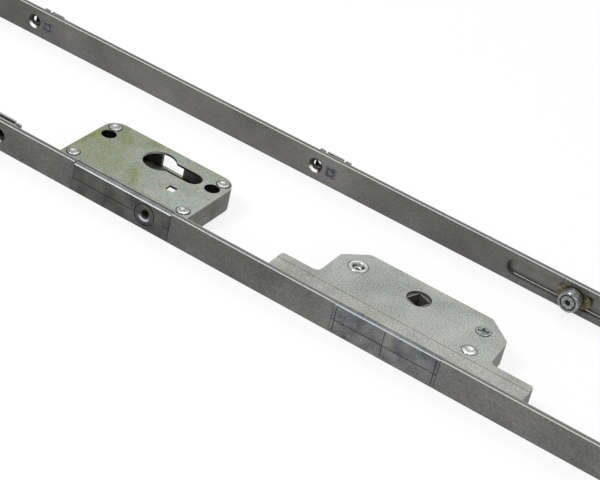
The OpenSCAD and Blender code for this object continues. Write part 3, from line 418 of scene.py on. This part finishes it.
guide_rivet("main_rivet_left", -0.2265, main_front, "main_guide_rivets")
guide_rivet("main_rivet_right", 0.1589, main_front, "main_guide_rivets")
guide_rivet("extension_rivet_outer", -0.2698, extension_front, "extension_guide_rivets")
guide_rivet("extension_rivet_middle", -0.0889, extension_front, "extension_guide_rivets")
guide_rivet("extension_rivet_right", 0.1389, extension_front, "extension_guide_rivets")

# Cylinder case: two halves with pressed steel plates, yellow passivated over zinc, riveted
# together. Passivation gives a thin interference film: yellow-green to the left, greyer with faint
# pink and blue patches of 13 mm to the right. The upright walls get painted shade; the halves meet
# there.
HOLLOW = ((-0.1829, -0.1111), (-0.0275, 0.0112), (-0.0057, 0.0057))  # limits in x, y and z
PLATE_FROM = 0.005  # the plates' outer edges are above and below this
CYLINDER_SIDE = (-0.156, 0, 0)  # left in the round part of the cylinder hole
passivated_plate, t, bsdf, place = new_material("yellow passivated zinc plated steel", 0.45, 0.4)
at = add(t, "ShaderNodeSeparateXYZ", (0, place))
film = add(t, "ShaderNodeTexNoise", ("Vector", place), Scale=75, Detail=5, Roughness=0.5,
           Distortion=0.6)
shift = add(t, "ShaderNodeMapRange", ("Value", at.outputs["X"]), From_Min=-0.185, From_Max=-0.11,
            To_Max=0.75)
strong = add(t, "ShaderNodeMapRange", ("Value", film), From_Min=0.3, From_Max=0.7,
             To_Min=0.12, To_Max=0.88)
spread = add(t, "ShaderNodeMath", (0, strong), (1, shift), operation="ADD")
half = add(t, "ShaderNodeMath", (0, spread), (1, 0.5), operation="MULTIPLY")
tone = add(t, "ShaderNodeValToRGB", (0, half),
           ramp=[(0.14, "6E7C4C"), (0.2, "868E5C"), (0.26, "77866A"), (0.33, "8E9076"),
                 (0.4, "84927E"), (0.47, "989788"), (0.54, "8A9890"), (0.61, "9F9B92"),
                 (0.68, "97A19A")])
# Grit of the sheet: 0.2 mm in the real plate, drawn at 0.6 mm
grit = add(t, "ShaderNodeTexNoise", ("Vector", place), Scale=1600, Detail=3, Roughness=0.7)
speck = add(t, "ShaderNodeValToRGB", (0, grit), ramp=[(0.34, 0.45), (0.47, 0.97), (0.62, 1.25)])
plate = add(t, "ShaderNodeMix", ("A", tone), ("B", speck), Factor=0.8, data_type="RGBA",
            blend_type="MULTIPLY")
# Painted shade: the upright walls get a darker tone than the plates
shaded_wall_tone = add(t, "ShaderNodeValToRGB", (0, film),
                ramp=[(0.36, "434240"), (0.5, "555452"), (0.66, "6C6B68")])
sides = add(t, "ShaderNodeMix", ("Factor", facing_up(t)), ("A", shaded_wall_tone), ("B", plate),
            data_type="RGBA")
# Only the outer edges of the plates are drawn bright, as wear and painted highlight: the joint of
# the halves stays dark
height = add(t, "ShaderNodeMath", (0, at.outputs["Z"]), operation="ABSOLUTE")
outer = add(t, "ShaderNodeMath", (0, height), (1, PLATE_FROM), operation="GREATER_THAN")
wear_and_highlight = add(t, "ShaderNodeMath", (0, outer), (1, worn_edges_and_painted_highlight(t, 0.00035)), operation="MULTIPLY")
joint = add(t, "ShaderNodeMapRange", ("Value", height), From_Min=0.00012, From_Max=0.0003,
            To_Min=0.25)
split = add(t, "ShaderNodeMix", ("A", sides), ("B", joint), Factor=1.0, data_type="RGBA",
            blend_type="MULTIPLY")
colour = add(t, "ShaderNodeMix", ("Factor", wear_and_highlight), ("A", split), B=linear("B2B4AA"),
             data_type="RGBA")
# Inside, the halves are painted dark, as painted shade, with a painted highlight at the left of
# the hole
inside = 1.0
for axis, (low, high) in enumerate(HOLLOW):
    for limit, test in ((low, "GREATER_THAN"), (high, "LESS_THAN")):
        side = add(t, "ShaderNodeMath", (0, at.outputs[axis]), (1, limit), operation=test)
        inside = add(t, "ShaderNodeMath", (0, side), (1, inside), operation="MULTIPLY")
along = add(t, "ShaderNodeMapRange", ("Value", at.outputs["X"]), From_Min=-0.162, From_Max=-0.142)
painted_hole_light = add(t, "ShaderNodeValToRGB", (0, along),
             ramp=[(0.04, "5A5550"), (0.16, "B4B4B0"), (0.55, "8E8E8A"), (0.8, "141312")])
by_hole = add(t, "ShaderNodeVectorMath", (0, place), (1, CYLINDER_SIDE), operation="DISTANCE")
near = add(t, "ShaderNodeMapRange", ("Value", by_hole), From_Min=0.0135, From_Max=0.0095)
rubbed = add(t, "ShaderNodeMix", ("Factor", near), ("B", painted_hole_light), A=linear("141312"),
             data_type="RGBA")
with_painted_hole_light = add(t, "ShaderNodeMix", ("Factor", inside), ("A", colour), ("B", rubbed),
              data_type="RGBA")
relief = add(t, "ShaderNodeBump", ("Height", grit), Strength=0.2, Distance=0.0001)
# Painted shade darkens the grooves, seats and holes
feed(bsdf, Base_Color=shade_painted_in_recesses(t, with_painted_hole_light, 0.0015, 0.2), Normal=relief)
give(passivated_plate, "cylinder_case_lower", "cylinder_case_upper")

# Case rivets, pins and eyelet: bright zinc-plated steel, headed over on both sides of the case.
# The dished heads are smooth from the tool and reflect the room, with faint clouds of 2.5 mm; a
# line of painted shade shows where they seat, and their pressed edges are rounded by about 0.5 mm.
RIVET_HEAD = 0.0034
bright_rivet, t, bsdf, place = new_material("bright zinc plated steel heads", 0.85, 0.24)
low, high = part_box("cylinder_case_rivets")
axes = [(x, y, 0) for x in (low[0] + RIVET_HEAD, high[0] - RIVET_HEAD)
        for y in (low[1] + RIVET_HEAD, high[1] - RIVET_HEAD)]
reach = add(t, "ShaderNodeMath", (0, to_nearest(t, place, axes, (1, 1, 0))), (1, RIVET_HEAD),
            operation="DIVIDE")
# The tool presses a ring and a dish into the heads of the case rivets, drawn in the bump and with
# painted shade in the ring and at the seat; the others have no marks
ring = add(t, "ShaderNodeValToRGB", (0, reach),
           ramp=[(0.0, 0.62), (0.3, 0.9), (0.5, 0.95), (0.6, 0.45), (0.68, 0.9), (0.84, 1.0),
                 (0.93, 0.5), (1.0, 0.2)])
beyond = add(t, "ShaderNodeMath", (0, reach), (1, 1.3), operation="GREATER_THAN")
marks = add(t, "ShaderNodeMix", ("Factor", beyond), ("A", ring), B=(1, 1, 1, 1), data_type="RGBA")
grain = add(t, "ShaderNodeTexNoise", ("Vector", place), Scale=400, Detail=2)
tone = add(t, "ShaderNodeValToRGB", (0, grain),
           ramp=[(0.35, "A6A9A6"), (0.5, "BEC1BD"), (0.66, "D2D4D0")])
painted_ring_shade = add(t, "ShaderNodeMix", ("A", tone), ("B", marks), Factor=1.0, data_type="RGBA",
              blend_type="MULTIPLY")
sheen = add(t, "ShaderNodeMapRange", ("Value", grain), From_Min=0.3, From_Max=0.7,
            To_Min=0.26, To_Max=0.4)
rounded = add(t, "ShaderNodeBevel", samples=6, Radius=0.0005)
relief = add(t, "ShaderNodeBump", ("Height", marks), ("Normal", rounded),
             Strength=0.8, Distance=0.0003)
# Painted shade darkens the seats, rings and holes strongly
feed(bsdf, Base_Color=shade_painted_in_recesses(t, painted_ring_shade, 0.0014, 0.06), Roughness=sheen, Normal=relief)
give(bright_rivet, "cylinder_case_rivets", "slide_guide_pins", "gearbox_eyelet", "gearbox_rivet")

# Front covers: zinc castings that close the cases between the faceplate lengths, held by their
# flanges in the plates. A dark blue-grey lacquer (clouds 9 mm, grain 0.8 mm) with thin spots of
# 17 mm where brownish metal shows.
CASE_COVER_ENDS = -0.07  # the cylinder case's cover is left of this, the gearbox's right of it
SHINY_EDGE = main_front + 0.0004
FLANGE_FROM = main_front + 0.00245
DIRTY_JOINT = 0.00035
lacquered_cover, t, bsdf, place = new_material("blue-grey lacquered zinc casting", 0.35, 0.36)
at = add(t, "ShaderNodeSeparateXYZ", (0, place))
cloud = add(t, "ShaderNodeTexNoise", ("Vector", place), Scale=110, Detail=5, Roughness=0.6)
grain = add(t, "ShaderNodeTexNoise", ("Vector", place), Scale=1200, Detail=4, Roughness=0.7)
mixed = add(t, "ShaderNodeMix", ("A", cloud), ("B", grain), Factor=0.5)
tone = add(t, "ShaderNodeValToRGB", (0, mixed),
           ramp=[(0.38, "343639"), (0.47, "56585B"), (0.55, "6B6A69"), (0.66, "86827C")])
thin = add(t, "ShaderNodeTexNoise", ("Vector", place), Scale=60, Detail=6, Roughness=0.7)
brown = add(t, "ShaderNodeValToRGB", (0, thin), ramp=[(0.58, 0.0), (0.7, 0.6)])
patched = add(t, "ShaderNodeMix", ("Factor", brown), ("A", tone), B=linear("7A6A5C"),
              data_type="RGBA")
# The cover of the cylinder case has a thicker, darker coat
on_case = add(t, "ShaderNodeMath", (0, at.outputs["X"]), (1, CASE_COVER_ENDS),
              operation="LESS_THAN")
coat = add(t, "ShaderNodeMix", ("Factor", on_case), A=(1, 1, 1, 1), B=linear("B4B4AE"),
           data_type="RGBA")
coated = add(t, "ShaderNodeMix", ("A", patched), ("B", coat), Factor=1.0, data_type="RGBA",
             blend_type="MULTIPLY")
# The bevel above the front is rubbed through to the metal, and in the key recess a little
look = add(t, "ShaderNodeNewGeometry")
way = add(t, "ShaderNodeSeparateXYZ", (0, look.outputs["True Normal"]))
tilt = add(t, "ShaderNodeMath", (0, way.outputs["Y"]), (1, way.outputs["Z"]),
           operation="MULTIPLY")
slope = add(t, "ShaderNodeMapRange", ("Value", tilt), From_Min=-0.15, From_Max=-0.3)
share = add(t, "ShaderNodeMapRange", ("Value", at.outputs["Z"]), From_Min=0.0052,
            From_Max=0.0058, To_Min=0.55)
bevel = add(t, "ShaderNodeMath", (0, slope), (1, share), operation="MULTIPLY")
band = add(t, "ShaderNodeValToRGB", (0, cloud),
           ramp=[(0.35, "585C5E"), (0.5, "676B6C"), (0.65, "787C7D")])
bared = add(t, "ShaderNodeMix", ("Factor", bevel), ("A", coated), ("B", band), data_type="RGBA")
# The lower edge of the bevel carries a painted highlight, a thin light line
low_edge = add(t, "ShaderNodeMath", (0, at.outputs["Y"]), (1, SHINY_EDGE), operation="LESS_THAN")
line = add(t, "ShaderNodeMath", (0, slope), (1, low_edge), operation="MULTIPLY")
painted_line_highlight = add(t, "ShaderNodeMix", ("Factor", on_case), A=linear("A4A6B2"), B=linear("BCC0C2"),
            data_type="RGBA")
lined = add(t, "ShaderNodeMix", ("Factor", line), ("A", bared), ("B", painted_line_highlight), data_type="RGBA")
# Dirt stands in the joint at the right end of the cover of the cylinder case
cover_end = add(t, "ShaderNodeMath", (0, at.outputs["X"]),
                (1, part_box("cylinder_front_cover")[1][0]), (2, DIRTY_JOINT), operation="COMPARE")
colour = add(t, "ShaderNodeMix", ("Factor", cover_end), ("A", lined), B=linear("1C1C1D"),
             data_type="RGBA")
# The flanges that lie in the plates were left out of the lacquer
flange_tone = add(t, "ShaderNodeValToRGB", (0, mixed),
                  ramp=[(0.38, "7C7F76"), (0.5, "969A90"), (0.62, "A9ACA3")])
behind = add(t, "ShaderNodeMath", (0, at.outputs["Y"]), (1, FLANGE_FROM),
             operation="GREATER_THAN")
plain = add(t, "ShaderNodeMix", ("Factor", behind), ("A", colour), ("B", flange_tone),
            data_type="RGBA")
# Rubbing leaves the bevels duller than the lacquer
rub = add(t, "ShaderNodeMapRange", ("Value", slope), To_Min=0.36, To_Max=0.55)
relief = add(t, "ShaderNodeBump", ("Height", grain), Strength=0.18, Distance=0.0001)
# Painted shade darkens the grooves and the key recess strongly
feed(bsdf, Base_Color=shade_painted_in_recesses(t, plain, 0.0008, 0.03), Roughness=rub, Normal=relief)
give(lacquered_cover, "cylinder_front_cover", "gearbox_front_cover")

# Screw block and grub screw: turned and milled free-cutting steel, blackened against rust, which
# gives it faint spots of 1 mm. Only the thin end of the screw shows, through the sight hole.
black_steel = mottled("blackened free-cutting steel", 0.5, 0.42, 900, 3,
                      [(0.35, "2C2C2E"), (0.65, "454547")])
give(black_steel, "cylinder_screw_block", "cylinder_grub_screw")

# Leaf spring of the locking slide: hardened strip, blued by its tempering heat in patches of
# 6 mm. It is inside the case, hooked on its pin.
blued_spring = mottled("tempered blue spring steel", 0.8, 0.3, 160, 3,
                       [(0.35, "5A6478"), (0.5, "76808E"), (0.66, "8C8078")])
give(blued_spring, "slide_spring")

# Gearbox: a die-cast zinc body with a cover plate, zinc plated in the drum. The plating dulls to a
# fine dark speckle; near the faceplate the passivation turns yellow and pink, and handling leaves
# thin bright scratches along the lock. The upright walls get painted shade.
speckled_zinc, t, bsdf, place = new_material("drum plated zinc casting", 0.35, 0.45)
at = add(t, "ShaderNodeSeparateXYZ", (0, place))
# Speckle: crystals of 0.2 mm in the real plating, drawn at 0.7 mm
grit = add(t, "ShaderNodeTexNoise", ("Vector", place), Scale=1500, Detail=4, Roughness=0.75)
cloud = add(t, "ShaderNodeTexNoise", ("Vector", place), Scale=60, Detail=4)
mixed = add(t, "ShaderNodeMix", ("A", grit), ("B", cloud), Factor=0.2)
tone = add(t, "ShaderNodeValToRGB", (0, mixed),
           ramp=[(0.37, "4B4E4B"), (0.44, "7F827E"), (0.52, "9A9D98"), (0.62, "BABDB7")])
near = add(t, "ShaderNodeMapRange", ("Value", at.outputs["Y"]), From_Min=-0.012,
           From_Max=-0.026, To_Max=0.22)
tints = add(t, "ShaderNodeTexNoise", ("Vector", place), Scale=90, Detail=3, Distortion=0.8)
film = add(t, "ShaderNodeValToRGB", (0, tints),
           ramp=[(0.36, "9CA39D"), (0.47, "A8A488"), (0.56, "AA9D97"), (0.66, "9CA2A6")])
tinted = add(t, "ShaderNodeMix", ("Factor", near), ("A", tone), ("B", film), data_type="RGBA")
stretch = add(t, "ShaderNodeMapping", ("Vector", place), Scale=(25, 1400, 1400))
scratch = add(t, "ShaderNodeTexNoise", ("Vector", stretch), Scale=1, Detail=2)
scored = add(t, "ShaderNodeValToRGB", (0, scratch), ramp=[(0.66, 0.0), (0.74, 0.5)])
top = add(t, "ShaderNodeMix", ("Factor", scored), ("A", tinted), B=linear("B4B6B0"),
          data_type="RGBA")
# Painted shade: the upright walls get a darker tone than the tops
shaded_wall_tone = add(t, "ShaderNodeValToRGB", (0, mixed),
                ramp=[(0.36, "444543"), (0.5, "575855"), (0.66, "6E6F6C")])
sides = add(t, "ShaderNodeMix", ("Factor", facing_up(t)), ("A", shaded_wall_tone), ("B", top),
            data_type="RGBA")
# The outer edges are drawn light, as wear and painted highlight
colour = add(t, "ShaderNodeMix", ("Factor", worn_edges_and_painted_highlight(t, 0.00035)), ("A", sides),
             B=linear("B9BCB7"), data_type="RGBA")
relief = add(t, "ShaderNodeBump", ("Height", grit), Strength=0.32, Distance=0.0001)
# Painted shade darkens the grooves, seats and holes
feed(bsdf, Base_Color=shade_painted_in_recesses(t, colour, 0.001, 0.35), Normal=relief)
give(speckled_zinc, "gearbox_shell", "gearbox_cover")

# Hub: sintered steel with the square socket for the handle's spindle. Sintering leaves open pores
# of about 0.1 mm, drawn at 0.5 mm so that they show, and a dark brown-grey skin; the rim of the
# square is drawn bright, worn by the spindle and with a painted highlight.
sintered_hub, t, bsdf, place = new_material("oil-dark sintered steel", 0.5, 0.45)
pores = add(t, "ShaderNodeTexVoronoi", ("Vector", place), Scale=2200)
tone = add(t, "ShaderNodeValToRGB", (0, pores),
           ramp=[(0.1, "1E1A19"), (0.35, "4C4948"), (0.7, "5E5B5A")])
# The rim of the square and the outer edges: wear and painted highlight
colour = add(t, "ShaderNodeMix", ("Factor", worn_edges_and_painted_highlight(t, 0.00045)), ("A", tone),
             B=linear("C9C2BE"), data_type="RGBA")
relief = add(t, "ShaderNodeBump", ("Height", pores), Strength=0.3, Distance=0.0001)
feed(bsdf, Base_Color=colour, Normal=relief)
give(sintered_hub, "spindle_hub")

# Thrust washers of the hub: natural polyamide, stamped from sheet; ivory, slightly waxy and
# cloudy in patches of 3 mm. They lie between the hub and the gearbox, inside.
washer_plastic = mottled("natural polyamide sheet", 0.0, 0.45, 300, 3,
                         [(0.35, "CFC9B8"), (0.65, "E2DDCF")])
give(washer_plastic, "hub_washers")

# Roller bases: steel blocks that fill the slot and carry the eccentric pin, yellow chromated.
# The chromate runs together unevenly in spots of 2 mm: olive brass with brown.
chromated_base, t, bsdf, place = new_material("yellow chromated steel", 0.4, 0.42)
runs = add(t, "ShaderNodeTexNoise", ("Vector", place), Scale=420, Detail=5, Roughness=0.7,
           Distortion=0.8)
tone = add(t, "ShaderNodeValToRGB", (0, runs),
           ramp=[(0.38, "28241A"), (0.46, "473F28"), (0.54, "635A38"), (0.64, "7A7460")])
relief = add(t, "ShaderNodeBump", ("Height", runs), Strength=0.4, Distance=0.0002)
# Painted shade darkens the grooves and corners
feed(bsdf, Base_Color=shade_painted_in_recesses(t, tone, 0.002, 0.3), Normal=relief)
give(chromated_base, "main_roller_base", "extension_roller_base")

# Rollers, eccentric pins and the cross stud: case-hardened steel, turned and plated, with spots
# of 1 mm. The rim is drawn lighter, and the star recess of the pin is painted dark inside, as
# painted shade.
ROLLER_REACH = 0.0055
turned_steel, t, bsdf, place = new_material("turned and plated steel", 0.8, 0.33)
spots = add(t, "ShaderNodeTexNoise", ("Vector", place), Scale=900, Detail=3)
tone = add(t, "ShaderNodeValToRGB", (0, spots),
           ramp=[(0.36, "66696B"), (0.5, "828586"), (0.64, "9C9E9E")])
axes = []
for low, high in (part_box("main_roller"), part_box("extension_roller")):
    axes.append(((low[0] + high[0]) / 2, 0, (low[2] + high[2]) / 2))
# The gap round the pin's head, 3.5 to 4.1 mm from the axis, and the star are painted dark, as
# painted shade; the turned lands between them are light, and the rim lighter still
reach = add(t, "ShaderNodeMapRange", ("Value", to_nearest(t, place, axes, (1, 0, 1))),
            From_Max=ROLLER_REACH)
lands = add(t, "ShaderNodeValToRGB", (0, reach),
            ramp=[(0.0, 0.25), (0.2, 0.4), (0.29, 1.0), (0.58, 0.95), (0.63, 0.22),
                  (0.74, 0.22), (0.79, 1.0), (0.97, 1.15)])
painted_gap_shade = add(t, "ShaderNodeMix", ("A", tone), ("B", lands), Factor=0.9, data_type="RGBA",
            blend_type="MULTIPLY")
rounded = add(t, "ShaderNodeBevel", samples=6, Radius=0.0005)
relief = add(t, "ShaderNodeBump", ("Height", spots), ("Normal", rounded),
             Strength=0.08, Distance=0.0001)
# Painted shade darkens the grooves and the recess
feed(bsdf, Base_Color=shade_painted_in_recesses(t, painted_gap_shade, 0.0012, 0.1), Normal=relief)
give(turned_steel, "main_roller", "extension_roller", "main_eccentric_pin",
     "extension_eccentric_pin", "gearbox_cross_stud")

# Studio: a plain white floor that the lock lies on. The camera and reflections see it nearly
# white, with the object's shadow left faint.
floor_z = cad_box[0][2] - 0.0002
bpy.ops.mesh.primitive_grid_add(x_subdivisions=4, y_subdivisions=4, size=6,
                                location=(0, 0, floor_z))
floor = bpy.context.object
floor.name = "floor"
bpy.ops.object.transform_apply(location=True, rotation=True, scale=True)
floor.select_set(False)
white_floor = bpy.data.materials.new("white matt board")
white_floor.use_nodes = True
t = white_floor.node_tree
t.nodes.clear()
paper = add(t, "ShaderNodeBsdfDiffuse", Color=linear("F4F4F4"))
glow = add(t, "ShaderNodeEmission", Strength=1.0)
ray = add(t, "ShaderNodeLightPath").outputs
seen = add(t, "ShaderNodeMath", (0, ray["Is Camera Ray"]), (1, ray["Is Glossy Ray"]),
           operation="ADD")
seen = add(t, "ShaderNodeMath", (0, seen), (1, ray["Is Transmission Ray"]), operation="ADD",
           use_clamp=True)
share = add(t, "ShaderNodeMath", (0, seen), (1, 0.8), operation="MULTIPLY")
board = add(t, "ShaderNodeMixShader", (0, share), (1, paper), (2, glow))
add(t, "ShaderNodeOutputMaterial", ("Surface", board))
floor.data.materials.append(white_floor)

# Soft room light: the world lights evenly at 0.55, and is white where the camera sees it, also
# through glass
world = bpy.data.worlds.new("studio")
bpy.context.scene.world = world
world.use_nodes = True
t = world.node_tree
t.nodes.clear()
room = add(t, "ShaderNodeBackground", Color=(1, 1, 1, 1), Strength=0.55)
white = add(t, "ShaderNodeBackground", Color=(1, 1, 1, 1), Strength=1.0)
ray = add(t, "ShaderNodeLightPath").outputs
seen = add(t, "ShaderNodeMath", (0, ray["Is Camera Ray"]), (1, ray["Is Transmission Ray"]),
           operation="ADD", use_clamp=True)
both = add(t, "ShaderNodeMixShader", (0, seen), (1, room), (2, white))
add(t, "ShaderNodeOutputWorld", ("Surface", both))


# Lamps: soft round boxes. The key lamp stands to the front left, where the upper front edges throw
# it back to the camera; the others lighten the tops and the right-hand faces.
def soft_box(name, aim, way, distance, size, watts):
    """A round lamp at this distance from its aim, in the direction way, that looks back at it."""
    lamp = bpy.data.lights.new(name, "AREA")
    lamp.shape = "DISK"
    lamp.size = size
    lamp.energy = watts
    box = bpy.data.objects.new(name, lamp)
    bpy.context.scene.collection.objects.link(box)
    way = Vector(way).normalized()
    box.location = Vector(aim) + way * distance
    box.rotation_euler = way.to_track_quat("Z", "Y").to_euler()


soft_box("key_lamp", (-0.03, 0.0, 0), (-0.36, -0.55, 0.75), 1.4, 0.5, 9)
soft_box("top_lamp", (-0.03, 0.05, 0), (-0.2, 0.5, 0.9), 1.4, 0.9, 5)
soft_box("side_lamp", (-0.03, 0.05, 0), (0.63, -0.64, 0.43), 1.5, 0.35, 4)

# Camera of the photograph, fitted to the keyhole opening, the plates and both strips. RIGHT, DOWN
# and AHEAD are the directions of the picture's axes in the part's frame.
SHOOT_FROM = Vector((0.25228, -0.67090, 0.49503))
RIGHT = Vector((0.82462, 0.53155, 0.19352))
DOWN = Vector((0.43932, -0.38626, -0.81105))
AHEAD = Vector((-0.35637, 0.75383, -0.55204))
camera = bpy.data.objects.new("camera", bpy.data.cameras.new("camera"))
bpy.context.scene.collection.objects.link(camera)
turned = Matrix((RIGHT, -DOWN, -AHEAD)).transposed().to_4x4()
camera.matrix_world = Matrix.Translation(SHOOT_FROM) @ turned
camera.data.sensor_width = 36
camera.data.lens = 114.67
camera.data.clip_start = 0.01
bpy.context.scene.camera = camera
bpy.context.scene.view_settings.view_transform = "Standard"
